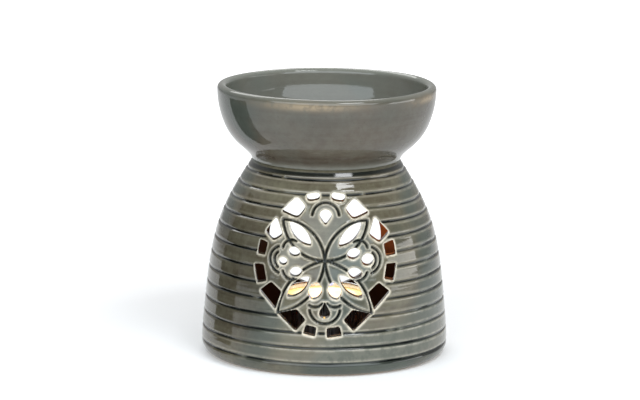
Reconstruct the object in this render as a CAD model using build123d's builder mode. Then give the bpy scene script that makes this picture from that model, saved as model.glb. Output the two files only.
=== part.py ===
"""Glazed stoneware oil burner: a pierced dome, a lift-off oil dish and a tealight inside.

Millimetres, +Z up, the origin under the middle of the foot. The pierced rosette faces -Y,
and the round door for the tealight is at the back, on the +Y side.
"""

import os
from math import asin, cos, degrees, radians, sin, sqrt

from build123d import *

# Dome
BODY_R = 56.0  # widest radius, just above the foot
FOOT_ROUND = 6.0  # rounding under the widest point
FOOT_W = 8.0  # flat ring that the burner stands on
FOOT_RECESS = 2.0  # the clay inside the foot ring stands clear of the table
FLOOR_Z = 8.0  # top of the floor
FLOOR_FILLET = 4.0  # inside corner between floor and wall
WALL = 5.0
NECK_R = 33.4  # where wall and dish meet
NECK_Z = 89.4
NECK_LEAN = 32.5  # degrees that the wall leans in at the neck
WALL_STATIONS = [(0.224, 0.04), (0.503, 0.168), (0.649, 0.296), (0.78, 0.496)]  # height, set-in, in shares

# Seat of the dish
SEAT_W = 6.6  # flat ring on top of the wall
MOUTH_DEPTH = 5.0  # straight bore under the seat
SPIGOT_GAP = 0.5  # all round, in the mouth
SPIGOT_DEPTH = 4.5
SPIGOT_WALL = 4.0

# Dish
DISH_R = 49.6  # widest radius
DISH_H = 34.1  # from seat to rim
DISH_WALL = 4.4
DISH_FLOOR = 5.0
DISH_LEAN = 42.0  # degrees that the dish flares out at the seat
DISH_STATIONS = [(0.22, 0.568), (0.519, 0.16)]  # height, set-in, in shares

# Turned rings round the dome
GROOVE_R = 0.8
GROOVE_DEPTH = 0.65
GROOVE_FIRST_Z = 6.5
GROOVE_PITCH = 6.9  # along the wall
GROOVE_STOP = 4.0  # smooth strip under the neck

# Pierced rosette
RING_Z = 0.56 * NECK_Z  # middle of the outer ring of holes
RING_R = 0.329 * NECK_Z  # ring of small slots, in pairs
FLOWER_Z = RING_Z + 0.067 * RING_R  # middle of the flower
PLAIN_EDGE = 1.6  # smooth wall between the slots and the ends of the grooves

# Holes of the rosette, in shares of RING_R and in degrees
SLOT_W = 0.102
SLOT_ANGLE = 11.0  # from the axis to the middle of a slot
SLOT_SPAN = 11.0
WINDOW = [(0.789, 12.5), (0.878, 25.5), (1.078, 21.0), (1.017, 2.2)]  # corners: radius, angle off a petal
PETAL_HOLE = (0.32, 0.748)  # inner and outer end of the hole in a petal
PETAL_HOLE_W = 0.156
SIDE_LEAF = (0.381, 0.558)  # pair of leaf holes in the left and right arms
SIDE_LEAF_W = 0.133
LOW_LEAF = (0.347, 0.592)
LOW_LEAF_W = 0.156
LEAF_ANGLE = 17.5  # from the arm's axis
SIDE_BUD = 0.633  # round hole in the left and right buds
SIDE_BUD_R = 0.071
TOP_BUD = (0.531, 0.735)  # point and round end of the drop in the upper bud
LOW_BUD = (0.605, 0.864)
BUD_W = 0.17

# Door for the tealight
DOOR_R = 0.291 * NECK_Z
DOOR_Z = 0.503 * NECK_Z

# Tealight
CUP_R = 19.0
CUP_H = 20.0
CUP_WALL = 0.4
CUP_BEAD_R = 0.7  # rolled rim
WAX_H = 16.5
WAX_EDGE_UP = 0.8  # wax stands higher at the cup's wall
WAX_GAP = 0.1
WICK_R = 1.1
WICK_UP = 7.0  # above the wax
SUSTAINER_R = 6.5
SUSTAINER_T = 0.5
SUSTAINER_NECK_R = 2.0
SUSTAINER_NECK_H = 4.0

os.makedirs("parts", exist_ok=True)


def inset(curve, share, depth):
    """The point that lies depth inside a wall curve, at a share of its length."""
    run = curve.tangent_at(share)
    return curve.position_at(share) + Vector(-run.Y, run.X) * depth


# Outer curves of wall and dish, as radius and height
with BuildLine() as wall_line:
    Spline(
        (BODY_R, FOOT_ROUND),
        *[(BODY_R - inward * (BODY_R - NECK_R), up * NECK_Z) for up, inward in WALL_STATIONS],
        (NECK_R, NECK_Z),
        tangents=[(0, 1), (-sin(radians(NECK_LEAN)), cos(radians(NECK_LEAN)))],
    )
wall_curve = wall_line.edges()[0]

RIM_R = DISH_WALL / 2
RIM_START_Z = NECK_Z + DISH_H - RIM_R
with BuildLine() as dish_line:
    Spline(
        (NECK_R, NECK_Z),
        *[(DISH_R - inward * (DISH_R - NECK_R), NECK_Z + up * DISH_H) for up, inward in DISH_STATIONS],
        (DISH_R, RIM_START_Z),
        tangents=[(sin(radians(DISH_LEAN)), cos(radians(DISH_LEAN))), (0, 1)],
    )
dish_curve = dish_line.edges()[0]


def wall_at(height):
    """Radius and height of the wall's outside at one height."""
    return wall_curve.find_intersection_points(Axis((0, height, 0), (1, 0, 0)))[0]


# Outlines in the rosette, as the front view shows them
def hole(strokes):
    """A hole's outline in the front view. A stroke of two points is a line, of three an arc."""
    with BuildSketch(Plane.XZ) as outline:
        with BuildLine():
            for stroke in strokes:
                if len(stroke) == 2:
                    Line(*stroke)
                else:
                    ThreePointArc(*stroke)
        make_face()
    return outline.sketch


def polar(radius, angle, middle_z, sideways=0.0):
    """A front-view point at radius and angle round a middle, moved sideways off that ray."""
    x = radius * cos(radians(angle)) - sideways * sin(radians(angle))
    z = radius * sin(radians(angle)) + sideways * cos(radians(angle))
    return (x * RING_R, middle_z + z * RING_R)


def cornered(corners):
    """Strokes of a straight-sided hole."""
    return list(zip(corners, corners[1:] + corners[:1]))


def almond(ends, angle, width):
    """Strokes of a leaf-shaped hole between two radii of the flower."""
    start = polar(ends[0], angle, FLOWER_Z)
    end = polar(ends[1], angle, FLOWER_Z)
    middle = (ends[0] + ends[1]) / 2
    left = polar(middle, angle, FLOWER_Z, width / 2)
    right = polar(middle, angle, FLOWER_Z, -width / 2)
    return [(start, left, end), (end, right, start)]


def drop(ends, angle):
    """Strokes of a drop-shaped hole, pointed towards the flower's middle."""
    point = polar(ends[0], angle, FLOWER_Z)
    middle = ends[1] - BUD_W / 2
    left = polar(middle, angle, FLOWER_Z, BUD_W / 2)
    right = polar(middle, angle, FLOWER_Z, -BUD_W / 2)
    return [(point, left), (left, polar(ends[1], angle, FLOWER_Z), right), (right, point)]


def disc(radius, angle, size):
    """Strokes of a round hole."""
    near, far = polar(radius - size, angle, FLOWER_Z), polar(radius + size, angle, FLOWER_Z)
    left, right = polar(radius, angle, FLOWER_Z, size), polar(radius, angle, FLOWER_Z, -size)
    return [(near, left, far), (far, right, near)]


# Outlines of every hole in the rosette
rosette = []
for axis_angle in (0, 90, 180, 270):
    petal_angle = axis_angle + 45
    rosette.append(almond(PETAL_HOLE, petal_angle, PETAL_HOLE_W))
    for side in (-1, 1):
        slot_middle = axis_angle + side * SLOT_ANGLE
        slot_corners = [
            polar(1 + across * SLOT_W / 2, slot_middle + along * SLOT_SPAN / 2, RING_Z)
            for across, along in ((-1, -1), (1, -1), (1, 1), (-1, 1))
        ]
        rosette.append(cornered(slot_corners))
        window_corners = [polar(radius, petal_angle + side * off, RING_Z) for radius, off in WINDOW]
        rosette.append(cornered(window_corners))
for side in (-1, 1):
    rosette.append(almond(LOW_LEAF, 270 + side * LEAF_ANGLE, LOW_LEAF_W))
for axis_angle in (0, 180):
    rosette.append(disc(SIDE_BUD, axis_angle, SIDE_BUD_R))
    for side in (-1, 1):
        rosette.append(almond(SIDE_LEAF, axis_angle + side * LEAF_ANGLE, SIDE_LEAF_W))
rosette.append(drop(TOP_BUD, 90))
rosette.append(drop(LOW_BUD, 270))

# The holes are cut straight in from the front
with BuildPart() as piercings:
    for strokes in rosette:
        extrude(hole(strokes), amount=BODY_R)

# Turned rings, those beside the rosette left out across it
PLAIN_R = RING_R * (1 + SLOT_W / 2) + PLAIN_EDGE
first_share = wall_curve.param_at_point(wall_at(GROOVE_FIRST_Z))
first_length = wall_curve.trim(0, first_share).length
groove_count = 1 + int((wall_curve.length - first_length - GROOVE_STOP) / GROOVE_PITCH)
whole_rings, broken_rings = [], []
for ring in range(groove_count):
    share = (first_length + ring * GROOVE_PITCH) / wall_curve.length
    middle = inset(wall_curve, share, GROOVE_DEPTH - GROOVE_R)
    if abs(middle.Y - RING_Z) < PLAIN_R:
        broken_rings.append(middle)
    else:
        whole_rings.append(middle)
with BuildPart() as groove_rings:
    for middle in broken_rings:
        half_gap = asin(sqrt(PLAIN_R**2 - (middle.Y - RING_Z) ** 2) / middle.X)
        start = Plane(
            (0, 0, 0),
            x_dir=(sin(half_gap), -cos(half_gap), 0),
            z_dir=(-cos(half_gap), -sin(half_gap), 0),
        )
        with BuildSketch(start):
            with Locations(middle):
                Circle(GROOVE_R)
        revolve(axis=Axis.Z, revolution_arc=360 - 2 * degrees(half_gap))

# Dome, turned from a section at the back, so that its seam falls in the door
MOUTH_R = NECK_R - SEAT_W
FOOT_R = BODY_R - FOOT_ROUND
with BuildPart() as burner_body:
    with BuildSketch(Plane.YZ):
        with BuildLine():
            add(wall_line.line)
            JernArc((FOOT_R, 0), (1, 0), FOOT_ROUND, 90)
            Polyline(
                (FOOT_R, 0),
                (FOOT_R - FOOT_W, 0),
                (FOOT_R - FOOT_W, FOOT_RECESS),
                (0, FOOT_RECESS),
                (0, FLOOR_Z),
                (BODY_R - WALL, FLOOR_Z),
            )
            Spline(
                (BODY_R - WALL, FLOOR_Z),
                *[inset(wall_curve, share, WALL) for share in (0.25, 0.45, 0.65, 0.85)],
                (MOUTH_R, NECK_Z - MOUTH_DEPTH),
                tangents=[(0, 1), (-1, 1)],
            )
            Polyline((MOUTH_R, NECK_Z - MOUTH_DEPTH), (MOUTH_R, NECK_Z), (NECK_R, NECK_Z))
        section = make_face()
        floor_corner = section.vertices().sort_by_distance((BODY_R - WALL, FLOOR_Z))[0]
        fillet(floor_corner, FLOOR_FILLET)
        with Locations(*whole_rings):
            Circle(GROOVE_R, mode=Mode.SUBTRACT)
    revolve(axis=Axis.Z)
    add(groove_rings.part, mode=Mode.SUBTRACT)
    add(piercings.part, mode=Mode.SUBTRACT)
    with BuildSketch(Plane.XZ):
        with Locations((0, DOOR_Z)):
            Circle(DOOR_R)
    extrude(amount=-BODY_R, mode=Mode.SUBTRACT)
burner_body.part.label = "burner_body"
export_step(burner_body.part, "parts/burner_body.step")

# Oil dish, seated on the wall and centred by its spigot
SPIGOT_R = MOUTH_R - SPIGOT_GAP
DISH_WELL_Z = NECK_Z + DISH_FLOOR
with BuildPart() as oil_dish:
    with BuildSketch(Plane.XZ):
        with BuildLine():
            add(dish_line.line)
            ThreePointArc(
                (DISH_R, RIM_START_Z),
                (DISH_R - RIM_R, RIM_START_Z + RIM_R),
                (DISH_R - DISH_WALL, RIM_START_Z),
            )
            Spline(
                (DISH_R - DISH_WALL, RIM_START_Z),
                *[inset(dish_curve, share, DISH_WALL) for share in (0.65, 0.3)],
                (0, DISH_WELL_Z),
                tangents=[(0, -1), (-1, 0)],
            )
            Polyline(
                (0, DISH_WELL_Z),
                (0, NECK_Z),
                (SPIGOT_R - SPIGOT_WALL, NECK_Z),
                (SPIGOT_R - SPIGOT_WALL, NECK_Z - SPIGOT_DEPTH),
                (SPIGOT_R, NECK_Z - SPIGOT_DEPTH),
                (SPIGOT_R, NECK_Z),
                (NECK_R, NECK_Z),
            )
        make_face()
    revolve(axis=Axis.Z)
oil_dish.part.label = "oil_dish"
export_step(oil_dish.part, "parts/oil_dish.step")

# Tealight: aluminium cup with a rolled rim
CUP_BASE_Z = FLOOR_Z + CUP_WALL
with BuildPart() as tealight_cup:
    with BuildSketch(Plane.XZ):
        with BuildLine():
            Polyline(
                (0, FLOOR_Z),
                (CUP_R, FLOOR_Z),
                (CUP_R, FLOOR_Z + CUP_H),
                (CUP_R - CUP_WALL, FLOOR_Z + CUP_H),
                (CUP_R - CUP_WALL, CUP_BASE_Z),
                (0, CUP_BASE_Z),
                close=True,
            )
        make_face()
        with Locations((CUP_R - CUP_WALL + CUP_BEAD_R, FLOOR_Z + CUP_H - CUP_BEAD_R)):
            Circle(CUP_BEAD_R)
    revolve(axis=Axis.Z)
tealight_cup.part.label = "tealight_cup"
export_step(tealight_cup.part, "parts/tealight_cup.step")

# Tin foot that holds the wick upright
NECK_TOP_Z = CUP_BASE_Z + SUSTAINER_T + SUSTAINER_NECK_H
with BuildPart() as wick_sustainer:
    with BuildSketch(Plane.XZ):
        with BuildLine():
            Polyline(
                (WICK_R + WAX_GAP, CUP_BASE_Z),
                (SUSTAINER_R, CUP_BASE_Z),
                (SUSTAINER_R, CUP_BASE_Z + SUSTAINER_T),
                (SUSTAINER_NECK_R, CUP_BASE_Z + SUSTAINER_T),
                (SUSTAINER_NECK_R, NECK_TOP_Z),
                (WICK_R + WAX_GAP, NECK_TOP_Z),
                close=True,
            )
        make_face()
    revolve(axis=Axis.Z)
wick_sustainer.part.label = "wick_sustainer"
export_step(wick_sustainer.part, "parts/wick_sustainer.step")

# Wick
WAX_TOP_Z = CUP_BASE_Z + WAX_H
with BuildPart() as candle_wick:
    with BuildSketch(Plane.XY.offset(CUP_BASE_Z)):
        Circle(WICK_R)
    extrude(amount=WAX_H + WICK_UP)
    fillet(candle_wick.edges().group_by(Axis.Z)[-1], WICK_R / 2)
candle_wick.part.label = "candle_wick"
export_step(candle_wick.part, "parts/candle_wick.step")

# Wax, poured round wick and tin foot
WAX_R = CUP_R - CUP_WALL - WAX_GAP
with BuildPart() as candle_wax:
    with BuildSketch(Plane.XZ):
        with BuildLine():
            Polyline(
                (WAX_R, WAX_TOP_Z + WAX_EDGE_UP),
                (WAX_R, CUP_BASE_Z),
                (SUSTAINER_R + WAX_GAP, CUP_BASE_Z),
                (SUSTAINER_R + WAX_GAP, CUP_BASE_Z + SUSTAINER_T + WAX_GAP),
                (SUSTAINER_NECK_R + WAX_GAP, CUP_BASE_Z + SUSTAINER_T + WAX_GAP),
                (SUSTAINER_NECK_R + WAX_GAP, NECK_TOP_Z + WAX_GAP),
                (WICK_R + WAX_GAP, NECK_TOP_Z + WAX_GAP),
                (WICK_R + WAX_GAP, WAX_TOP_Z),
            )
            Spline(
                (WICK_R + WAX_GAP, WAX_TOP_Z),
                (WAX_R, WAX_TOP_Z + WAX_EDGE_UP),
                tangents=[(1, 0), (1, 1)],
            )
        make_face()
    revolve(axis=Axis.Z)
candle_wax.part.label = "candle_wax"
export_step(candle_wax.part, "parts/candle_wax.step")
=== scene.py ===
"""Looks of the oil burner: the pierced glazed dome, the glazed oil dish and the lit tealight.

Lengths are millimetres until a mesh is made, and metres from there on. The front faces -Y.
"""

from math import cos, pi, radians, sin, sqrt, tan

import bmesh
import bpy
import numpy as np
from mathutils import Matrix, Vector
from mathutils.kdtree import KDTree


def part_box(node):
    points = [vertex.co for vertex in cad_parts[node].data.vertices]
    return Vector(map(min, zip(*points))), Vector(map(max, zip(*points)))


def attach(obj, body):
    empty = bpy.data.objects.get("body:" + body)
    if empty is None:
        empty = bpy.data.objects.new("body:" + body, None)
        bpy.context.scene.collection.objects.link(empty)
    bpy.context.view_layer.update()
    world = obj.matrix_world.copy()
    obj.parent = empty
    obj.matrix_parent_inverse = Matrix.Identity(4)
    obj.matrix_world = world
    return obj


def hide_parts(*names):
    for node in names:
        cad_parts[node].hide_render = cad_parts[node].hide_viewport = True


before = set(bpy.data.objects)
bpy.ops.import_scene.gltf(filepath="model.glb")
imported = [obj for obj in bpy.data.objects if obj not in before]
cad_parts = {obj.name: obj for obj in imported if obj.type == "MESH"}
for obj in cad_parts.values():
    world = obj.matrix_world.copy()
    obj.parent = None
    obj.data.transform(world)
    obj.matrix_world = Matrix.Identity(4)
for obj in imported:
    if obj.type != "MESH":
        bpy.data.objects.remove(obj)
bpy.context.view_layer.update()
scene = bpy.context.scene
scene.view_settings.view_transform = "Standard"
MM = 0.001

# Camera of the photograph
camera_data = bpy.data.cameras.new("photo_camera")
camera_data.sensor_width = 36.0
camera_data.lens = 188.86
camera = bpy.data.objects.new("photo_camera", camera_data)
camera.matrix_world = (
    Matrix.Translation((-0.00257, -1.4998, 0.3593))
    @ Matrix.Rotation(radians(79.07), 4, "X")
    @ Matrix.Rotation(radians(0.596), 4, "Z")
)
scene.collection.objects.link(camera)
scene.camera = camera

# Sizes of the pottery, from the solids where their boxes show them
BODY_R = round(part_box("burner_body")[1].x / MM, 1)
NECK_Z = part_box("burner_body")[1].z / MM
DISH_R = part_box("oil_dish")[1].x / MM
RIM_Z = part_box("oil_dish")[1].z / MM
SPIGOT_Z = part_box("oil_dish")[0].z / MM
CUP_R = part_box("candle_wax")[1].x / MM + 0.5
CUP_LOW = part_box("tealight_cup")[0].z / MM
CUP_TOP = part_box("tealight_cup")[1].z / MM
NECK_R = 33.4
WALL = 5.0
FOOT_ROUND = 6.0
FOOT_RING = 8.0
FOOT_DEEP = 2.0
FLOOR_Z = 8.0
MOUTH_R = 26.8
MOUTH_LOW = NECK_Z - 5.0
RING_Z = 0.56 * NECK_Z
RING_R = 0.329 * NECK_Z
FLOWER_Z = RING_Z + 0.067 * RING_R
DOOR_R = 0.291 * NECK_Z
DOOR_Z = 0.503 * NECK_Z
DISH_TALL = RIM_Z - NECK_Z
DISH_FOOT = 2.2
RIM_ROUND = 2.2
FAR_OFF = 99.0


# Curves
def smooth_curve(at, values, first_slope, last_slope):
    """A smooth curve through points, as a function that gives values and slopes."""
    at, values = np.array(at, float), np.array(values, float)
    gap = np.diff(at)
    rise = np.diff(values) / gap
    rows = np.eye(len(at))
    sums = np.zeros(len(at))
    sums[0], sums[-1] = first_slope, last_slope
    for i in range(1, len(at) - 1):
        rows[i, i - 1 : i + 2] = 1 / gap[i - 1], 2 / gap[i - 1] + 2 / gap[i], 1 / gap[i]
        sums[i] = 3 * (rise[i - 1] / gap[i - 1] + rise[i] / gap[i])
    slopes = np.linalg.solve(rows, sums)

    def curve(where):
        where = np.clip(np.asarray(where, float), at[0], at[-1])
        i = np.clip(np.searchsorted(at, where, side="right") - 1, 0, len(gap) - 1)
        u = (where - at[i]) / gap[i]
        bend = slopes[i] + slopes[i + 1] - 2 * rise[i]
        turn = 3 * rise[i] - 2 * slopes[i] - slopes[i + 1]
        value = values[i] + gap[i] * (slopes[i] * u + turn * u**2 + bend * u**3)
        return value, slopes[i] + 2 * turn * u + 3 * bend * u**2

    return curve


set_in = BODY_R - NECK_R
wall_curve = smooth_curve(
    [FOOT_ROUND, 0.224 * NECK_Z, 0.503 * NECK_Z, 0.649 * NECK_Z, 0.78 * NECK_Z, NECK_Z],
    [BODY_R - share * set_in for share in (0, 0.04, 0.168, 0.296, 0.496, 1)],
    0,
    -tan(radians(32.5)),
)
wall_heights = np.linspace(FOOT_ROUND, NECK_Z, 1500)
wall_radii = wall_curve(wall_heights)[0]
wall_run = np.concatenate([[0], np.cumsum(np.hypot(np.diff(wall_heights), np.diff(wall_radii)))])


def on_wall(x, z, back=False):
    """Points on the wall's outside that the front view shows at x and z."""
    x, z = np.asarray(x, float), np.asarray(z, float)
    y = np.sqrt(wall_curve(z)[0] ** 2 - x**2)
    return np.stack([x, y if back else -y, z], axis=-1)


def out_of_wall(points):
    """The direction square to the wall's outside at points near it."""
    slope = wall_curve(points[..., 2])[1]
    radius = np.hypot(points[..., 0], points[..., 1])
    out = np.stack([points[..., 0] / radius, points[..., 1] / radius, -slope], axis=-1)
    return out / np.sqrt(1 + slope**2)[..., None]


def even_points(points, spacing, closed=True):
    """A line through points, cut into even steps."""
    points = np.array(points, float)
    if closed:
        points = np.vstack([points, points[:1]])
    run = np.concatenate([[0], np.cumsum(np.linalg.norm(np.diff(points, axis=0), axis=1))])
    steps = max(int(run[-1] / spacing), 8)
    marks = np.linspace(0, run[-1], steps, endpoint=not closed)
    return np.stack([np.interp(marks, run, points[:, i]) for i in range(2)], axis=1)


def bell(off, wide):
    """One at no distance, falling softly to nothing over a width."""
    return np.exp(-((off / wide) ** 2))


# Outlines of the rosette, as the front view shows them
def polar(radius, angle, middle_z, sideways=0.0):
    """A point at shares of the ring's radius and an angle round a middle."""
    a = radians(angle)
    x = radius * cos(a) - sideways * sin(a)
    z = radius * sin(a) + sideways * cos(a)
    return (x * RING_R, middle_z + z * RING_R)


def arc(middle, radius, first, last):
    """Points of an arc, in millimetres."""
    angles = np.radians(np.linspace(first, last, 40))
    return np.stack([middle[0] + radius * np.cos(angles), middle[1] + radius * np.sin(angles)], 1)


def almond(start, end, width):
    """Points of a leaf shape between two tips, both sides swept as arcs."""
    start, end = np.array(start), np.array(end)
    length = np.linalg.norm(end - start)
    along = (end - start) / length
    across = np.array([-along[1], along[0]])
    swing = (length**2 / 4 - width**2 / 4) / width
    reach = swing + width / 2
    half = np.arcsin(length / 2 / reach)
    angles = np.linspace(-half, half, 40)
    side = np.stack([reach * np.sin(angles) + length / 2, reach * np.cos(angles) - swing], 1)
    other = side[::-1] * [1, -1]
    both = np.vstack([side, other[1:-1]])
    return start + both[:, :1] * along + both[:, 1:] * across


def drop(point, end, angle, width):
    """Points of a drop with its tip towards the flower's middle."""
    tip = np.array(polar(point, angle, FLOWER_Z))
    middle = polar(end - width / 2, angle, FLOWER_Z)
    return np.vstack([[tip], arc(middle, width / 2 * RING_R, angle - 95, angle + 95)])


PETAL_HOLES = ((45, 0.285, 0.77), (135, 0.295, 0.765), (225, 0.325, 0.8), (315, 0.295, 0.805))
SLOTS = (  # middle and half angle, inner and outer radius, eased corners
    (11.5, 6.1, 0.92, 1.075, 5),
    (79, 6.2, 0.93, 1.05, 26),
    (101, 6.0, 0.935, 1.045, 26),
    (168.2, 6.3, 0.91, 1.03, 4),
    (190.5, 7.8, 0.925, 1.075, 4),
    (257.5, 5.0, 0.935, 1.08, 4),
    (278, 6.0, 0.94, 1.09, 4),
    (351.8, 7.2, 0.925, 1.075, 5),
)
WINDOWS = (  # petal and side, then radius and angle from the petal at the four corners, eased corners
    (45, -1, (0.775, 12.5), (0.865, 25.3), (1.06, 20.8), (1.0, 2.4), 14),
    (45, 1, (0.765, 12.5), (0.855, 25.5), (1.045, 21), (0.99, 3), 22),
    (135, -1, (0.775, 12.5), (0.868, 25.8), (1.062, 21.2), (1.005, 2.4), 26),
    (135, 1, (0.755, 12.5), (0.84, 23.6), (1.01, 19.6), (0.99, 3), 14),
    (225, -1, (0.775, 12.3), (0.86, 25.8), (1.08, 21.2), (1.02, 2), 5),
    (225, 1, (0.785, 12.5), (0.87, 26), (1.09, 21.4), (1.03, 1.6), 5),
    (315, -1, (0.785, 12.5), (0.87, 26), (1.085, 21.4), (1.025, 1.8), 5),
    (315, 1, (0.775, 12.3), (0.86, 25.8), (1.08, 21.2), (1.02, 2), 5),
)
LEAVES = (  # angle, near and far radius, width
    (252, 0.335, 0.615, 0.2),
    (288, 0.335, 0.615, 0.2),
    (13, 0.33, 0.545, 0.165),
    (337, 0.375, 0.61, 0.17),
    (166, 0.385, 0.57, 0.145),
    (202, 0.375, 0.575, 0.155),
)
PETAL_HOLE_WIDE = 0.188
CUT_HEART = (-0.2, FLOWER_Z + 0.2)
CUT_PETALS = (  # tip in the front view, width
    ((20.9, 28.4), 10.4),
    ((-20.9, 28.4), 10.4),
    ((18.6, 68.8), 10.2),
    ((-18.9, 68.9), 10.2),
)


def rosette_holes():
    """Every hole of the rosette as its maker cut it by hand, a closed line with its corners eased."""
    rough = []
    for angle, near, far in PETAL_HOLES:
        tips = (polar(near, angle, FLOWER_Z), polar(far, angle, FLOWER_Z))
        rough.append((7, almond(*tips, PETAL_HOLE_WIDE * RING_R)))
    for middle, half, inner, outer, ease in SLOTS:
        corners = [(inner, -half), (outer, -half), (outer, half), (inner, half)]
        rough.append((ease, [polar(r, middle + off, RING_Z) for r, off in corners]))
    for petal, side, *corners, ease in WINDOWS:
        rough.append((ease, [polar(r, petal + side * off, RING_Z) for r, off in corners]))
    for angle, near, far, width in LEAVES:
        tips = (polar(near, angle, FLOWER_Z), polar(far, angle, FLOWER_Z))
        rough.append((5, almond(*tips, width * RING_R)))
    rough.append((1, arc(polar(0.637, 0, FLOWER_Z), 0.092 * RING_R, 0, 351)))
    rough.append((1, arc(polar(0.633, 183, FLOWER_Z), 0.062 * RING_R, 0, 351)))
    rough.append((10, drop(0.5, 0.735, 90, 0.195)))
    rough.append((3, drop(0.605, 0.864, 270, 0.17)))
    holes = []
    for ease, points in rough:
        line = even_points(points, 0.3)
        for _ in range(ease):
            line = (np.roll(line, 1, 0) + line + np.roll(line, -1, 0)) / 3
        turn = np.sum(line[:, 0] * np.roll(line[:, 1], -1) - np.roll(line[:, 0], -1) * line[:, 1])
        holes.append(line if turn > 0 else line[::-1])
    return holes


def rosette_lines():
    """Every line that is cut into the rosette's face without going through."""
    lines = [almond(CUT_HEART, tip, width) for tip, width in CUT_PETALS]
    lines.append(arc((0.0, 70.6), 6.0, 8, 172))
    lines.append(arc((0.0, 31.3), 6.8, 188, 352))
    for side, turn in ((1, 0), (-1, 180)):
        lines.append(arc((side * 18.4, FLOWER_Z - 0.3), 6.1, turn - 68, turn + 68))
        lines.append(arc((side * 18.4, FLOWER_Z - 0.3), 4.1, turn - 50, turn + 50))
        lines.append(arc((side * 14.6, FLOWER_Z - 4.4), 4.2, 270 - 55 + side * 25, 270 + 50 + side * 25))
        lines.append(arc((side * 14.6, FLOWER_Z + 4.4), 4.2, 90 - 50 - side * 25, 90 + 55 - side * 25))
        lines.append(arc((side * 4.4, 36.2), 4.4, 270 - 42 - side * 8, 270 + 42 - side * 8))
    return [even_points(points, 0.2, closed=False) for points in lines]


hole_lines = rosette_holes()
cut_lines = rosette_lines()
door_angles = np.linspace(0, 2 * pi, 400, endpoint=False)
door_edge = on_wall(DOOR_R * np.cos(door_angles), DOOR_Z + DOOR_R * np.sin(door_angles), back=True)


# Marks in the wall's outside
def near_points(points):
    """A search tree over points."""
    tree = KDTree(len(points))
    for i, point in enumerate(points):
        tree.insert(point, i)
    tree.balance()
    return tree


def distances(places, tree):
    """How far each place lies from the nearest point of a tree."""
    return np.array([tree.find(place)[2] for place in places])


def inside_line(x, z, line):
    """Which front-view points lie inside a closed line."""
    inside = np.zeros(len(x), bool)
    for (x0, z0), (x1, z1) in zip(line, np.roll(line, -1, 0)):
        if z0 != z1:
            crossing = (z0 > z) != (z1 > z)
            inside ^= crossing & (x < (x1 - x0) * (z - z0) / (z1 - z0) + x0)
    return inside


hole_tree = near_points(np.vstack([on_wall(*even_points(line, 0.1).T) for line in hole_lines]))
cut_tree = near_points(np.vstack([on_wall(*line.T) for line in cut_lines]))
door_tree = near_points(door_edge)

GROOVE_PITCH = 6.9
GROOVE_WIDE, GROOVE_DEEP = 0.56, 0.62
GROOVE_FALL_WIDE, GROOVE_FALL_DEEP = 1.9, 0.1
GROOVE_LIP_OFF, GROOVE_LIP_WIDE, GROOVE_LIP_TALL = 1.2, 0.4, 0.12
CUT_WIDE, CUT_DEEP = 0.5, 1.0
CUT_LIP_OFF, CUT_LIP_WIDE, CUT_LIP_TALL = 1.05, 0.36, 0.26
PLAIN_ROUND_FLOWER = 27.8
groove_first = np.interp(6.5, wall_heights, wall_run)
groove_count = 1 + int((wall_run[-1] - groove_first - 4.0) / GROOVE_PITCH)
groove_places = groove_first + GROOVE_PITCH * np.arange(groove_count)
hand = np.random.default_rng(7)
groove_sway = hand.uniform(0, 2 * pi, (groove_count, 4))
groove_gaps = hand.uniform(-pi, pi, (groove_count, 3))


def wall_marks(places):
    """How deep the marks go at places on the wall, each mark alone, and the way to holes and door."""
    x, y, z = places.T
    turn = np.arctan2(x, -y)
    run = np.interp(z, wall_heights, wall_run)
    ring = np.clip(np.rint((run - groove_first) / GROOVE_PITCH).astype(int), 0, groove_count - 1)
    sway = groove_sway[ring]
    waver = 0.14 * np.sin(2 * turn + sway[:, 0]) + 0.1 * np.sin(5 * turn + sway[:, 1])
    groove_off = np.abs(run - (groove_places[ring] + waver))
    strength = 0.84 + 0.18 * np.sin(3 * turn + sway[:, 2]) + 0.13 * np.sin(11 * turn + sway[:, 3])
    for gap in groove_gaps[ring].T:
        apart = np.abs((turn - gap + pi) % (2 * pi) - pi) * 50
        strength *= 1 - 0.75 * bell(apart, 1.6)

    front = (y < 0) & (np.hypot(x, z - RING_Z) < 1.3 * RING_R)
    hole_off = np.full(len(places), FAR_OFF)
    cut_off = np.full(len(places), FAR_OFF)
    hole_off[front] = distances(places[front], hole_tree)
    cut_off[front] = distances(places[front], cut_tree)
    through = np.zeros(len(places), bool)
    for line in hole_lines:
        (left, low), (right, high) = line.min(axis=0), line.max(axis=0)
        close = (y < 0) & (x > left) & (x < right) & (z > low) & (z < high)
        through[close] |= inside_line(x[close], z[close], line)
    hole_off[through] *= -1
    back = (y > 0) & (np.hypot(x, z - DOOR_Z) < DOOR_R + 9)
    door_off = np.full(len(places), FAR_OFF)
    door_off[back] = distances(places[back], door_tree)
    door_off[back & (np.hypot(x, z - DOOR_Z) < DOOR_R)] *= -1

    flower = np.hypot(x, z - RING_Z)
    fade = np.where(y < 0, np.clip((flower - PLAIN_ROUND_FLOWER) / 1.4, 0, 1), 1.0)
    fade *= np.clip((hole_off - 0.5) / 0.8, 0, 1) * np.clip((door_off - 2.5) / 3, 0, 1)
    groove = strength * fade * bell(groove_off, GROOVE_WIDE)
    groove_lip = fade * bell(groove_off - GROOVE_LIP_OFF, GROOVE_LIP_WIDE)
    groove_fall = fade * bell(groove_off, GROOVE_FALL_WIDE)
    cut = bell(cut_off, CUT_WIDE) * np.clip((hole_off + 0.1) / 0.5, 0, 1)
    cut_lip = bell(cut_off - CUT_LIP_OFF, CUT_LIP_WIDE)
    depth = GROOVE_DEEP * groove + GROOVE_FALL_DEEP * groove_fall - GROOVE_LIP_TALL * groove_lip
    depth += CUT_DEEP * cut - CUT_LIP_TALL * cut_lip
    return depth, groove, groove_lip, cut, cut_lip, hole_off, door_off


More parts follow.
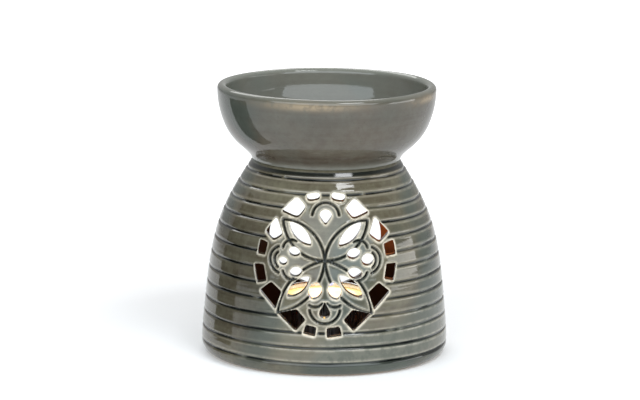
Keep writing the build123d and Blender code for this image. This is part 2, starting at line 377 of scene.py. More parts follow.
def rounded(off, radius):
    """How deep an edge of that radius falls away at a distance from its line."""
    inward = np.clip(radius - off, 0, radius)
    return radius - np.sqrt(radius**2 - inward**2)


# Meshes
def turned(profile, sectors, name):
    """A closed shape spun from a profile of radius and height, from the front left round to the right."""
    bm = bmesh.new()
    start = sectors[0][0]
    way = Vector((sin(start), -cos(start), 0))
    chain = [bm.verts.new(way * radius * MM + Vector((0, 0, height * MM))) for radius, height in profile]
    geometry = chain + [bm.edges.new(pair) for pair in zip(chain, chain[1:])]
    for first, last, steps in sectors:
        spun = bmesh.ops.spin(
            bm,
            geom=geometry,
            cent=(0, 0, 0),
            axis=(0, 0, 1),
            angle=last - first,
            steps=steps,
            use_merge=False,
        )
        geometry = spun["geom_last"]
    bmesh.ops.remove_doubles(bm, verts=bm.verts, dist=2e-6)
    bmesh.ops.dissolve_degenerate(bm, edges=bm.edges, dist=1e-7)
    bmesh.ops.recalc_face_normals(bm, faces=bm.faces)
    mesh = bpy.data.meshes.new(name)
    bm.to_mesh(mesh)
    bm.free()
    return mesh


def whole_turn(steps):
    """One sector that goes all the way round."""
    return [(0.0, 2 * pi, steps)]


def places_of(mesh):
    """The mesh's points, in millimetres."""
    flat = np.empty(len(mesh.vertices) * 3)
    mesh.vertices.foreach_get("co", flat)
    return flat.reshape(-1, 3) / MM


def turn_of(places):
    """The angle of places round the axis, from the front."""
    return np.arctan2(places[:, 0], -places[:, 1])


def radius_of(places):
    """How far places lie from the axis."""
    return np.hypot(places[:, 0], places[:, 1])


def move_to(mesh, places):
    """Puts the mesh's points at places in millimetres."""
    mesh.vertices.foreach_set("co", (places * MM).ravel())
    mesh.update()


def store(mesh, name, values):
    """Keeps a number per point for the material to read."""
    layer = mesh.attributes.new(name, "FLOAT", "POINT")
    layer.data.foreach_set("value", np.ascontiguousarray(values, np.float32))


def show(mesh, name, body, material, sharp=None):
    """A shown piece that rides on a body."""
    obj = bpy.data.objects.new(name, mesh)
    scene.collection.objects.link(obj)
    mesh.shade_smooth()
    if sharp:
        mesh.set_sharp_from_angle(angle=radians(sharp))
    mesh.materials.clear()
    mesh.materials.append(material)
    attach(obj, body)
    return obj


# Node helpers
def feed(tree, socket, value):
    """Links a socket, or sets its value."""
    if isinstance(value, bpy.types.NodeSocket):
        tree.links.new(value, socket)
    else:
        socket.default_value = value


def put(tree, kind, settings=None, **sockets):
    """Adds a node, with its settings and its sockets given by value or by link."""
    made = tree.nodes.new(kind)
    for name, value in (settings or {}).items():
        setattr(made, name, value)
    for name, value in sockets.items():
        feed(tree, made.inputs[name], value)
    return made


def blended(tree, share, first, second):
    """A colour between two colours."""
    made = put(tree, "ShaderNodeMix", {"data_type": "RGBA"})
    for place, value in ((0, share), (6, first), (7, second)):
        feed(tree, made.inputs[place], value)
    return made.outputs[2]


def ranged(tree, value, low, high, to_low=0.0, to_high=1.0):
    """A value taken from one range to another, and kept inside it."""
    made = put(tree, "ShaderNodeMapRange", {"interpolation_type": "SMOOTHSTEP"}, Value=value)
    for name, number in (("From Min", low), ("From Max", high), ("To Min", to_low), ("To Max", to_high)):
        made.inputs[name].default_value = number
    return made.outputs[0]


def reckoned(tree, operation, first, second):
    """Two values put together."""
    made = put(tree, "ShaderNodeMath", {"operation": operation})
    for socket, value in zip(made.inputs, (first, second)):
        feed(tree, socket, value)
    return made.outputs[0]


def new_group(name, inputs, outputs):
    """A shader node group with named sockets."""
    tree = bpy.data.node_groups.new(name, "ShaderNodeTree")
    for socket, kind in inputs:
        tree.interface.new_socket(socket, in_out="INPUT", socket_type=kind)
    for socket, kind in outputs:
        tree.interface.new_socket(socket, in_out="OUTPUT", socket_type=kind)
    return tree, tree.nodes.new("NodeGroupInput").outputs, tree.nodes.new("NodeGroupOutput").inputs


def use_group(tree, group, **sockets):
    """Places a node group in a material and gives its outputs."""
    return put(tree, "ShaderNodeGroup", {"node_tree": group}, **sockets).outputs


def new_material(name):
    """A material, its node tree and its shader."""
    material = bpy.data.materials.new(name)
    material.use_nodes = True
    tree = material.node_tree
    return material, tree, tree.nodes["Principled BSDF"]


def object_place(tree):
    """The piece's own coordinates."""
    return tree.nodes.new("ShaderNodeTexCoord").outputs["Object"]


def kept(tree, name):
    """A number that the mesh keeps per point."""
    return put(tree, "ShaderNodeAttribute", {"attribute_name": name}).outputs["Fac"]


# Shared effects
COLOR, VALUE, VECTOR = "NodeSocketColor", "NodeSocketFloat", "NodeSocketVector"


def glaze_drift_group():
    """Wide patches, clouds, throwing streaks, iron specks and grain of a fired glaze."""
    tree, given, out = new_group(
        "Glaze drift",
        [("Place", VECTOR)],
        [("Patch", VALUE), ("Cloud", VALUE), ("Streak", VALUE), ("Mottle", VALUE)]
        + [("Speck", VALUE), ("Grain", VALUE)],
    )
    patch = put(tree, "ShaderNodeTexNoise", Vector=given["Place"], Scale=17.0, Detail=2.0, Distortion=0.6)
    tree.links.new(ranged(tree, patch.outputs["Fac"], 0.45, 0.62), out["Patch"])
    cloud = put(tree, "ShaderNodeTexNoise", Vector=given["Place"], Scale=38.0, Detail=4.0, Roughness=0.55)
    tree.links.new(ranged(tree, cloud.outputs["Fac"], 0.3, 0.7), out["Cloud"])
    flat = put(tree, "ShaderNodeMapping", Vector=given["Place"], Scale=(9.0, 9.0, 420.0))
    streak = put(tree, "ShaderNodeTexNoise", Vector=flat.outputs[0], Scale=1.0, Detail=3.0, Roughness=0.6)
    tree.links.new(ranged(tree, streak.outputs["Fac"], 0.3, 0.7), out["Streak"])
    mottle = put(tree, "ShaderNodeTexNoise", Vector=given["Place"], Scale=240.0, Detail=5.0, Roughness=0.68)
    tree.links.new(ranged(tree, mottle.outputs["Fac"], 0.34, 0.66), out["Mottle"])
    speck = put(tree, "ShaderNodeTexVoronoi", Vector=given["Place"], Scale=420.0)
    tree.links.new(ranged(tree, speck.outputs["Distance"], 0.1, 0.22, 1.0, 0.0), out["Speck"])
    grain = put(tree, "ShaderNodeTexNoise", Vector=given["Place"], Scale=700.0, Detail=2.0)
    tree.links.new(grain.outputs["Fac"], out["Grain"])
    return tree


def glaze_depth_group():
    """Glaze that turns dark where it pools and where shade is painted, and shows the clay's paler colour
    where it wears away and where light or a highlight is painted.
    """
    tree, given, out = new_group(
        "Glaze depth",
        [("Light", COLOR), ("Full", COLOR), ("Cool", COLOR), ("Pooled", COLOR), ("Worn_and_painted_light", COLOR)]
        + [("Patch", VALUE), ("Cloud", VALUE), ("Streak", VALUE), ("Mottle", VALUE), ("Speck", VALUE)]
        + [("Pool", VALUE), ("Thin", VALUE)],
        [("Color", COLOR)],
    )
    drift = reckoned(tree, "MULTIPLY", given["Streak"], 0.3)
    drift = reckoned(tree, "ADD", drift, reckoned(tree, "MULTIPLY", given["Cloud"], 0.35))
    drift = reckoned(tree, "ADD", drift, reckoned(tree, "MULTIPLY", given["Mottle"], 0.35))
    color = blended(tree, drift, given["Light"], given["Full"])
    color = blended(tree, reckoned(tree, "MULTIPLY", given["Patch"], 0.75), color, given["Cool"])
    color = blended(tree, reckoned(tree, "MULTIPLY", given["Speck"], 0.14), color, given["Pooled"])
    # The Thin share carries both worn glaze and painted light and highlight
    color = blended(tree, given["Thin"], color, given["Worn_and_painted_light"])
    color = blended(tree, given["Pool"], color, given["Pooled"])
    tree.links.new(color, out["Color"])
    return tree


glaze_drift = glaze_drift_group()
glaze_depth = glaze_depth_group()


def glaze_material(
    name, light, full, cool, pooled_and_shade, worn_and_painted_light, painted_inside, painted_inside_lit, clay, pool_iron, inside_dull
):
    """Glossy stoneware glaze over clay, with the marks, the painted shade and the painted light that the
    mesh keeps.
    """
    material, tree, shader = new_material(name)
    place = object_place(tree)
    drift = use_group(tree, glaze_drift, Place=place)
    pool_and_shade = kept(tree, "pool_and_shade")
    thin_and_painted_light = kept(tree, "thin_and_painted_light")
    thin_and_painted_light = reckoned(tree, "MULTIPLY", thin_and_painted_light, ranged(tree, drift["Mottle"], 0.1, 0.8, 0.5, 1.0))
    shades = {"Light": light, "Full": full, "Cool": cool, "Pooled": pooled_and_shade, "Worn_and_painted_light": worn_and_painted_light}
    shares = {kind: drift[kind] for kind in ("Patch", "Cloud", "Streak", "Mottle", "Speck")}
    color = use_group(tree, glaze_depth, Pool=pool_and_shade, Thin=thin_and_painted_light, **shades, **shares)["Color"]
    # Where the mesh marks it inside, light is painted: the dome's chamber takes dark painted shade, and an
    # orange painted glow of the candle towards the right and higher up
    inside = kept(tree, "inside")
    axes = put(tree, "ShaderNodeSeparateXYZ", Vector=place).outputs
    to_right = ranged(tree, axes["X"], -0.01, 0.035)
    painted_lit_side = reckoned(tree, "MULTIPLY", to_right, ranged(tree, axes["Z"], 0.03, 0.052))
    color = blended(tree, inside, color, blended(tree, painted_lit_side, painted_inside, painted_inside_lit))
    bare = kept(tree, "bare")
    clay_color = blended(tree, drift["Speck"], clay, [0.55 * part for part in clay[:3]] + [1.0])
    color = blended(tree, bare, color, clay_color)
    tree.links.new(color, shader.inputs["Base Color"])
    gloss = ranged(tree, drift["Cloud"], 0.0, 1.0, 0.03, 0.08)
    gloss = reckoned(tree, "ADD", gloss, reckoned(tree, "MULTIPLY", thin_and_painted_light, 0.12))
    gloss = reckoned(tree, "ADD", gloss, reckoned(tree, "MULTIPLY", inside, inside_dull))
    gloss = reckoned(tree, "ADD", gloss, reckoned(tree, "MULTIPLY", bare, 0.6))
    tree.links.new(gloss, shader.inputs["Roughness"])
    tree.links.new(ranged(tree, pool_and_shade, 0.94, 0.99, 0.0, pool_iron), shader.inputs["Metallic"])
    shader.inputs["IOR"].default_value = 1.52
    relief = reckoned(tree, "ADD", drift["Grain"], reckoned(tree, "MULTIPLY", drift["Streak"], 0.35))
    bump = put(tree, "ShaderNodeBump", Height=relief, Strength=0.05, Distance=0.0004)
    tree.links.new(bump.outputs["Normal"], shader.inputs["Normal"])
    return material


body_glaze = glaze_material(
    "dome_glaze",
    light=(0.133, 0.123, 0.083, 1),
    full=(0.055, 0.042, 0.026, 1),
    cool=(0.048, 0.064, 0.054, 1),
    pooled_and_shade=(0.005, 0.007, 0.006, 1),
    worn_and_painted_light=(0.68, 0.61, 0.48, 1),
    # Painted shade inside the chamber, and the candle's painted glow on its lit side
    painted_inside=(0.03, 0.012, 0.006, 1),
    painted_inside_lit=(0.5, 0.16, 0.045, 1),
    clay=(0.42, 0.31, 0.2, 1),
    pool_iron=0.75,
    inside_dull=0.3,
)
dish_glaze = glaze_material(
    "dish_glaze",
    light=(0.104, 0.094, 0.072, 1),
    full=(0.066, 0.048, 0.034, 1),
    cool=(0.052, 0.064, 0.054, 1),
    pooled_and_shade=(0.014, 0.02, 0.017, 1),
    worn_and_painted_light=(0.27, 0.205, 0.125, 1),
    # The dish's painted light, one pale grey for both
    painted_inside=(0.22, 0.228, 0.196, 1),
    painted_inside_lit=(0.22, 0.228, 0.196, 1),
    clay=(0.42, 0.31, 0.2, 1),
    pool_iron=0.0,
    inside_dull=0.0,
)


# Dome
def dome_profile():
    """Radius and height, from under the foot over the wall and neck to the chamber's floor."""
    foot = BODY_R - FOOT_ROUND
    ring = foot - FOOT_RING
    points = [(radius, FOOT_DEEP) for radius in (0, 15, 30, 38, ring - 0.9)]
    points += [(ring - 0.3, FOOT_DEEP - 0.3), (ring + 0.1, 0.9), (ring + 0.6, 0.25)]
    points += [(ring + 1.3, 0.0), (foot - 4, 0.0), (foot - 0.5, 0.0)]
    for a in np.radians(range(6, 90, 6)):
        points.append((foot + FOOT_ROUND * sin(a), FOOT_ROUND - FOOT_ROUND * cos(a)))
    rows = [0.0]
    for groove in groove_places:
        rows += list(groove + np.array([-1.0, -0.65, -0.32, 0.0, 0.32, 0.65, 1.0]))
        rows += list(np.linspace(groove + 1.0, groove + GROOVE_PITCH - 1.0, 9)[1:-1])
    rows = [row for row in rows if -0.01 < row < wall_run[-1] - 1.4]
    rows += list(wall_run[-1] - np.array([1.3, 1.0]))
    heights = np.interp(rows, wall_run, wall_heights)
    points += list(zip(wall_curve(heights)[0], heights))
    points += [(NECK_R + 0.24, NECK_Z - 0.7), (NECK_R - 0.05, NECK_Z - 0.25), (NECK_R - 0.6, NECK_Z)]
    points += [(30.5, NECK_Z), (28.0, NECK_Z), (MOUTH_R + 0.5, NECK_Z), (MOUTH_R, NECK_Z - 0.5)]
    points += [(MOUTH_R, NECK_Z - 2.5), (MOUTH_R, MOUTH_LOW + 0.4), (MOUTH_R + 0.5, MOUTH_LOW - 0.6)]
    rows = np.linspace(0.88, 0.12, 16) * wall_run[-1]
    heights = np.interp(rows, wall_run, wall_heights)
    radii, slopes = wall_curve(heights)
    lean = np.arctan(-slopes)
    points += list(zip(radii - WALL * np.cos(lean), heights - WALL * np.sin(lean)))
    corner = BODY_R - WALL - 4.1
    points += [(corner + 4 * cos(a), FLOOR_Z + 4 - 4 * sin(a)) for a in np.radians(range(0, 91, 15))]
    points += [(40, FLOOR_Z), (30, FLOOR_Z), (20, FLOOR_Z), (10, FLOOR_Z), (0, FLOOR_Z)]
    return points


CUTTER_AHEAD = 3.0
CUTTER_STEPS = (3.9, 1.0, 1.6, 2.4, 4.0)


def hole_cutters():
    """Cutters for the rosette and the door, straight in from front and back, as one object."""
    bm = bmesh.new()
    for line in hole_lines:
        edge = on_wall(*line.T) - (0, CUTTER_AHEAD, 0)
        face = bm.faces.new([bm.verts.new(point * MM) for point in edge])
        spare = []
        for step in CUTTER_STEPS:
            grown = bmesh.ops.extrude_face_region(bm, geom=[face])["geom"]
            face = next(part for part in grown if isinstance(part, bmesh.types.BMFace))
            moved = [part for part in grown if isinstance(part, bmesh.types.BMVert)]
            bmesh.ops.translate(bm, verts=moved, vec=(0, step * MM, 0))
            spare.append(face)
        bmesh.ops.delete(bm, geom=spare[:-1], context="FACES_ONLY")
    door = bmesh.ops.create_cone(
        bm, cap_ends=True, segments=160, radius1=DOOR_R * MM, radius2=DOOR_R * MM, depth=0.06
    )["verts"]
    bmesh.ops.rotate(bm, verts=door, matrix=Matrix.Rotation(pi / 2, 3, "X"))
    bmesh.ops.translate(bm, verts=door, vec=(0, 0.04, DOOR_Z * MM))
    rims = [edge for edge in bm.edges if edge.is_boundary]
    bmesh.ops.holes_fill(bm, edges=rims)
    bmesh.ops.recalc_face_normals(bm, faces=bm.faces)
    mesh = bpy.data.meshes.new("cutters")
    bm.to_mesh(mesh)
    bm.free()
    obj = bpy.data.objects.new("cutters", mesh)
    scene.collection.objects.link(obj)
    return obj


def pierced(mesh, cutters):
    """The mesh with the cutters taken out of it."""
    obj = bpy.data.objects.new("uncut", mesh)
    scene.collection.objects.link(obj)
    cut = obj.modifiers.new("holes", "BOOLEAN")
    cut.operation = "DIFFERENCE"
    cut.solver = "MANIFOLD"
    cut.object = cutters
    made = bpy.data.meshes.new_from_object(obj.evaluated_get(bpy.context.evaluated_depsgraph_get()))
    bpy.data.objects.remove(obj)
    return made


LIP_R = 0.75
DOOR_LIP_R = 2.0
# Shares of painted shade on the neck strip and the wall's left side, and of painted light low on the wall
NECK_PAINTED_SHADE, LEFT_PAINTED_SHADE, LOW_PAINTED_LIGHT = 0.93, 0.28, 0.09
half_front = radians(42)
half_back = radians(38)
dome_sectors = [
    (-half_front, half_front, 220),
    (half_front, pi - half_back, 30),
    (pi - half_back, pi + half_back, 60),
    (pi + half_back, 2 * pi - half_front, 30),
]
dome_mesh = turned(dome_profile(), dome_sectors, "dome_uncut")
places = places_of(dome_mesh)
radius = radius_of(places)
outer = (places[:, 2] > FOOT_ROUND - 0.6) & (np.abs(radius - wall_curve(places[:, 2])[0]) < 0.05)
depth, *_, hole_off, door_off = wall_marks(places[outer])
depth += rounded(hole_off, LIP_R) + rounded(door_off, DOOR_LIP_R)
places[outer] -= out_of_wall(places[outer]) * depth[:, None]
move_to(dome_mesh, places)

cutters = hole_cutters()
dome_mesh = pierced(dome_mesh, cutters)
bpy.data.objects.remove(cutters)

places = places_of(dome_mesh)
radius = radius_of(places)
wall_radius, slope = wall_curve(places[:, 2])
under = (wall_radius - radius) / np.sqrt(1 + slope**2)
face = (under < 1.4) & (places[:, 2] > FOOT_ROUND - 0.8) & (places[:, 2] < NECK_Z - 0.9)
ring_in = BODY_R - FOOT_ROUND - FOOT_RING + 1.0
foot_off = np.where((places[:, 2] < FOOT_ROUND) & (radius > ring_in), places[:, 2], FAR_OFF)
unmarked = places[face] + out_of_wall(places[face]) * under[face][:, None]
_, groove, groove_lip, cut, cut_lip, hole_off, door_off = wall_marks(unmarked)
above_rings = np.interp(unmarked[:, 2], wall_heights, wall_run) - groove_places[-1]
# Painted shade: the plain strip above the last ring, under the dish's overhang, is darkened almost to black
# but kept glossy
neck_shade_strip = np.clip((above_rings - 1.0) / 0.8, 0, 1)
pool_and_shade, thin_and_painted_light, inside, bare = (np.zeros(len(places)) for _ in range(4))
# Painted shade: the wall is darkened towards its left side, where less light falls on it
left = np.clip((-18 - unmarked[:, 0]) / 16, 0, 1) * np.clip((unmarked[:, 2] - 8) / 14, 0, 1)
left *= np.clip((74 - unmarked[:, 2]) / 14, 0, 1)
# Painted light: the lower wall, more so towards the right, is paled where more light falls on it
low = np.clip((34 - unmarked[:, 2]) / 22, 0, 1) * np.clip((unmarked[:, 0] + 34) / 24, 0, 1)
in_lines = 1.7 * np.maximum(groove, cut) - 0.25
pool_and_shade[face] = np.clip(np.maximum(in_lines, NECK_PAINTED_SHADE * neck_shade_strip) + LEFT_PAINTED_SHADE * left, 0, 1)
# The glaze wears pale on the edges of the holes and the door; the pale lips beside the rings and cut lines
# are partly that and partly a painted highlight
edge = bell(np.clip(hole_off, 0, None), 0.68) + bell(np.clip(door_off, 0, None), 1.4)
thin_and_painted_light[face] = np.clip(edge + 0.5 * cut_lip + 0.28 * groove_lip + LOW_PAINTED_LIGHT * low - pool_and_shade[face], 0, 1)
# The chamber's inner faces are marked for painted shade and painted candle glow
inside[~face] = np.clip((under[~face] - 3.4) / 1.2, 0, 1)
inside[places[:, 2] < FOOT_ROUND] = 0
bare[:] = np.clip((1.3 - foot_off) / 0.8, 0, 1)
bare[(places[:, 2] < FOOT_DEEP + 0.5) & (radius <= ring_in)] = 1
for name, values in (("pool_and_shade", pool_and_shade), ("thin_and_painted_light", thin_and_painted_light), ("inside", inside), ("bare", bare)):
    store(dome_mesh, name, values)
dome = show(dome_mesh, "glazed_dome", "burner", body_glaze, sharp=55)
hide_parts("burner_body")


# Dish
dish_wall = smooth_curve(
    [0, DISH_FOOT, 0.22 * DISH_TALL, 0.519 * DISH_TALL, DISH_TALL - RIM_ROUND],
    [NECK_R + 0.35, NECK_R + 1.4] + [DISH_R - share * (DISH_R - NECK_R) for share in (0.568, 0.16, 0)],
    0.15,
    0,
)


def solid_well():
    """Radius and height of the dish's inside, from its middle to the rim, as the solid has it."""
    points = places_of(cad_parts["oil_dish"].data)
    radius = radius_of(points)
    above = points[:, 2] - NECK_Z
    inside = (above > 4.9) & (above < DISH_TALL - 2.1) & (radius < dish_wall(above)[0] - 2)
    order = np.argsort(radius[inside])
    radius, height = radius[inside][order], points[inside, 2][order]
    apart = np.concatenate([[True], np.diff(radius) > 0.004])
    radius, height = radius[apart], height[apart]
    run = np.concatenate([[0], np.cumsum(np.hypot(np.diff(radius), np.diff(height)))])
    knots = np.linspace(0, run[-1], 9)
    marks = np.linspace(0, run[-1], 60)
    smooth_r = smooth_curve(knots, np.interp(knots, run, radius), 1, 0)
    smooth_z = smooth_curve(knots, np.interp(knots, run, height), 0, 1)
    return smooth_r(marks)[0], smooth_z(marks)[0]


well_r, well_z = solid_well()


def dish_profile():
    """Radius and height, from the middle under the dish out over the rim and back into the well."""
    spigot = MOUTH_R - 0.5
    points = [(0, NECK_Z), (10, NECK_Z), (spigot - 4.6, NECK_Z), (spigot - 4, NECK_Z - 0.6)]
    points += [(spigot - 4, SPIGOT_Z + 0.4), (spigot - 3.6, SPIGOT_Z), (spigot - 0.4, SPIGOT_Z)]
    points += [(spigot, SPIGOT_Z + 0.4), (spigot, NECK_Z - 0.3), (spigot + 0.3, NECK_Z), (30, NECK_Z)]
    points += [(NECK_R - 0.4, NECK_Z), (NECK_R + 0.1, NECK_Z + 0.08), (NECK_R + 0.33, NECK_Z + 0.35)]
    heights = np.linspace(0.7, DISH_TALL - RIM_ROUND, 56)
    points += list(zip(dish_wall(heights)[0], NECK_Z + heights))
    middle, level = DISH_R - RIM_ROUND, RIM_Z - RIM_ROUND
    for a in np.radians(range(12, 180, 12)):
        points.append((middle + RIM_ROUND * cos(a), level + RIM_ROUND * sin(a)))
    points += list(zip(well_r[::-1], well_z[::-1]))
    return points


RIM_PATCHES = ((-0.16, 0.4), (1.15, 0.25), (2.4, 0.4), (-2.1, 0.35))  # angle and width, in radians
dish_mesh = turned(dish_profile(), whole_turn(192), "glazed_dish")
places = places_of(dish_mesh)
turn = turn_of(places)
radius = radius_of(places)
near_rim = np.clip((places[:, 2] - NECK_Z - 8) / (DISH_TALL - 8), 0, 1) ** 2
places[:, 2] -= near_rim * (0.12 + 0.12 * np.sin(2 * turn + 0.6) + 0.05 * np.sin(5 * turn))
move_to(dish_mesh, places)
rim_off = RIM_Z - places[:, 2]
well_deep = np.clip((RIM_Z - 12 - places[:, 2]) / 18, 0, 1)
in_well = (radius < DISH_R - RIM_ROUND) & (places[:, 2] > np.interp(radius, well_r, well_z) - 1.0)
patches = sum(bell((turn - at + pi) % (2 * pi) - pi, wide) for at, wide in RIM_PATCHES)
rim_band = 0.85 * patches * bell(rim_off - 3.2, 1.7)
thin_and_painted_light = 0.15 * bell(rim_off, 0.7) + np.where(in_well, 0.0, rim_band)
# Painted light: the rim's top, the well's upper wall and a band at the dish's foot are paled towards a pale
# grey, less so deeper in the well
foot_painted_light = 0.55 * bell(places[:, 2] - NECK_Z, 2.0)
painted_light_paling = 0.45 * bell(rim_off, 1.3) + np.where(in_well, 0.45 * (1 - 0.6 * well_deep), foot_painted_light)
pool_and_shade = np.where(in_well, 0.55 * well_deep, 0.14 * bell(rim_off - 9, 4))
bare = ((places[:, 2] <= NECK_Z + 0.1) & (radius < NECK_R - 0.2)).astype(float)
for name, values in (("pool_and_shade", pool_and_shade), ("thin_and_painted_light", thin_and_painted_light), ("inside", painted_light_paling), ("bare", bare)):
    store(dish_mesh, name, np.clip(values, 0, 1))
dish = show(dish_mesh, "glazed_dish", "dish", dish_glaze, sharp=60)
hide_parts("oil_dish")


# Tealight
def cup_metal():
    """Thin pressed aluminium, rubbed and slightly wavy."""
    material, tree, shader = new_material("pressed_aluminium")
    place = object_place(tree)
    rub = put(tree, "ShaderNodeTexNoise", Vector=place, Scale=300.0, Detail=4.0)
    drawn = put(tree, "ShaderNodeMapping", Vector=place, Scale=(900.0, 900.0, 40.0))
    lines = put(tree, "ShaderNodeTexNoise", Vector=drawn.outputs[0], Scale=1.0, Detail=2.0)
    color = blended(tree, rub.outputs["Fac"], (0.78, 0.78, 0.77, 1), (0.62, 0.62, 0.61, 1))
    tree.links.new(color, shader.inputs["Base Color"])
    shader.inputs["Metallic"].default_value = 1.0
    tree.links.new(ranged(tree, lines.outputs["Fac"], 0.3, 0.7, 0.22, 0.4), shader.inputs["Roughness"])
    bump = put(tree, "ShaderNodeBump", Height=lines.outputs["Fac"], Strength=0.15, Distance=0.0002)
    tree.links.new(bump.outputs["Normal"], shader.inputs["Normal"])
    return material


def candle_wax_material():
    """Pale wax, molten and clear round the wick, with a painted glow of the flame's light in it."""
    material, tree, shader = new_material("candle_wax")
    place = object_place(tree)
    molten = kept(tree, "molten")
    frost = put(tree, "ShaderNodeTexNoise", Vector=place, Scale=260.0, Detail=3.0)
    solid = blended(tree, frost.outputs["Fac"], (0.86, 0.8, 0.66, 1), (0.78, 0.7, 0.54, 1))
    color = blended(tree, molten, solid, (0.86, 0.66, 0.34, 1))
    tree.links.new(color, shader.inputs["Base Color"])
    tree.links.new(ranged(tree, molten, 0.0, 1.0, 0.5, 0.06), shader.inputs["Roughness"])
    shader.inputs["Subsurface Weight"].default_value = 0.6
    shader.inputs["Subsurface Radius"].default_value = (0.006, 0.004, 0.002)
    shader.inputs["Subsurface Scale"].default_value = 1.0
    # Painted glow: the wax emits the flame's light, warmer in the solid wax and paler in the molten pool
    glow = blended(tree, molten, (0.85, 0.63, 0.22, 1), (1.0, 0.95, 0.78, 1))
    tree.links.new(glow, shader.inputs["Emission Color"])
    shader.inputs["Emission Strength"].default_value = 1.0
    bump = put(tree, "ShaderNodeBump", Height=frost.outputs["Fac"], Strength=0.1, Distance=0.0003)
    tree.links.new(bump.outputs["Normal"], shader.inputs["Normal"])
    return material


def wick_material():
    """Braided cotton, charred towards its tip."""
    material, tree, shader = new_material("braided_cotton")
    place = object_place(tree)
    height = put(tree, "ShaderNodeSeparateXYZ", Vector=place).outputs["Z"]
    slanted = {"bands_direction": "DIAGONAL"}
    braid = put(tree, "ShaderNodeTexWave", slanted, Vector=place, Scale=700.0, Distortion=1.5)
    cotton = blended(tree, braid.outputs["Fac"], (0.62, 0.55, 0.42, 1), (0.4, 0.33, 0.22, 1))
    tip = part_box("candle_wick")[1].z
    charred = ranged(tree, height, tip - 0.0065, tip - 0.0045)
    tree.links.new(blended(tree, charred, cotton, (0.012, 0.01, 0.009, 1)), shader.inputs["Base Color"])
    shader.inputs["Roughness"].default_value = 0.9
    bump = put(tree, "ShaderNodeBump", Height=braid.outputs["Fac"], Strength=0.6, Distance=0.0003)
    tree.links.new(bump.outputs["Normal"], shader.inputs["Normal"])
    return material


def flame_material(low):
    """A still candle flame from a height up, blue at its foot and pale yellow above."""
    material, tree, shader = new_material("candle_flame")
    height = put(tree, "ShaderNodeSeparateXYZ", Vector=object_place(tree)).outputs["Z"]
    body = blended(tree, ranged(tree, height, low, low + 0.008), (0.15, 0.25, 0.9, 1), (1.0, 0.6, 0.16, 1))
    color = blended(tree, ranged(tree, height, low + 0.006, low + 0.016), body, (1.0, 0.8, 0.4, 1))
    shader.inputs["Base Color"].default_value = (0.02, 0.01, 0.0, 1)
    tree.links.new(color, shader.inputs["Emission Color"])
    shader.inputs["Emission Strength"].default_value = 3.0
    tree.links.new(ranged(tree, height, low, low + 0.007, 0.25, 0.95), shader.inputs["Alpha"])
    return material


def tin_material():
    """Thin tinned steel, dulled by wax."""
    material, tree, shader = new_material("tinned_steel")
    rub = put(tree, "ShaderNodeTexNoise", Vector=object_place(tree), Scale=500.0, Detail=3.0)
    color = blended(tree, rub.outputs["Fac"], (0.6, 0.6, 0.58, 1), (0.4, 0.4, 0.38, 1))
    tree.links.new(color, shader.inputs["Base Color"])
    shader.inputs["Metallic"].default_value = 1.0
    tree.links.new(ranged(tree, rub.outputs["Fac"], 0.3, 0.7, 0.3, 0.5), shader.inputs["Roughness"])
    return material


CUP_WALL = 0.4
cup_in = CUP_R - CUP_WALL
cup_floor = CUP_LOW + CUP_WALL
cup_profile = [(0, CUP_LOW), (9, CUP_LOW), (15.5, CUP_LOW), (17.6, CUP_LOW + 0.05), (18.5, CUP_LOW + 0.5)]
cup_profile += [(CUP_R, CUP_LOW + 1.4), (CUP_R, CUP_LOW + 5), (CUP_R, CUP_LOW + 10), (CUP_R, CUP_TOP - 1.6)]
bead = (CUP_R + 0.28, CUP_TOP - 0.7)
cup_profile += [(bead[0] + 0.7 * cos(a), bead[1] + 0.7 * sin(a)) for a in np.radians(range(-100, 181, 28))]
cup_profile += [(cup_in, CUP_TOP - 1.5), (cup_in, CUP_LOW + 8), (cup_in, CUP_LOW + 1.6)]
cup_profile += [(18.0, CUP_LOW + 0.7), (17.0, cup_floor), (9, cup_floor), (0, cup_floor)]
cup_mesh = turned(cup_profile, whole_turn(240), "tealight_cup_pressed")
places = places_of(cup_mesh)
turn = turn_of(places)
radius = radius_of(places)
flute = np.clip((radius - 17.5) / 1.0, 0, 1) * np.clip((CUP_TOP - 1.8 - places[:, 2]) / 2, 0, 1)
shrink = 1 - 0.006 * flute * (1 + np.cos(60 * turn))
places[:, :2] *= shrink[:, None]
move_to(cup_mesh, places)
cup = show(cup_mesh, "tealight_cup_pressed", "tealight", cup_metal(), sharp=70)
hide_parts("tealight_cup")

MOLTEN_BACK = 3.5
wax_low, wax_high = (corner.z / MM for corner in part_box("candle_wax"))
wax_r = cup_in - 0.25
wax_profile = [(1.25, wax_low + 0.05), (8, wax_low + 0.05), (16.0, wax_low + 0.05), (wax_r, wax_low + 1.5)]
wax_profile += [(wax_r, wax_low + 6), (wax_r, wax_high - 0.5)]
wax_hollow = [(wax_r - 0.3, 0.15), (wax_r - 0.8, 0.1), (16.6, 0.5), (15.4, 0.95), (14.4, 1.15), (12, 1.2)]
wax_hollow += [(9, 1.2), (6, 1.2), (3, 1.15), (1.8, 0.95), (1.25, 0.6)]
wax_profile += [(radius, wax_high - fallen) for radius, fallen in wax_hollow]
wax_mesh = turned(wax_profile + wax_profile[:1], whole_turn(96), "poured_wax")
places = places_of(wax_mesh)
turn = turn_of(places)
radius = np.hypot(places[:, 0], places[:, 1] - MOLTEN_BACK)
shore = 14.6 + 0.5 * np.sin(3 * turn + 1) + 0.3 * np.sin(7 * turn)
store(wax_mesh, "molten", np.clip((shore - radius) / 1.2, 0, 1) * (places[:, 2] > wax_high - 2))
wax = show(wax_mesh, "poured_wax", "tealight", candle_wax_material(), sharp=50)
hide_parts("candle_wax")

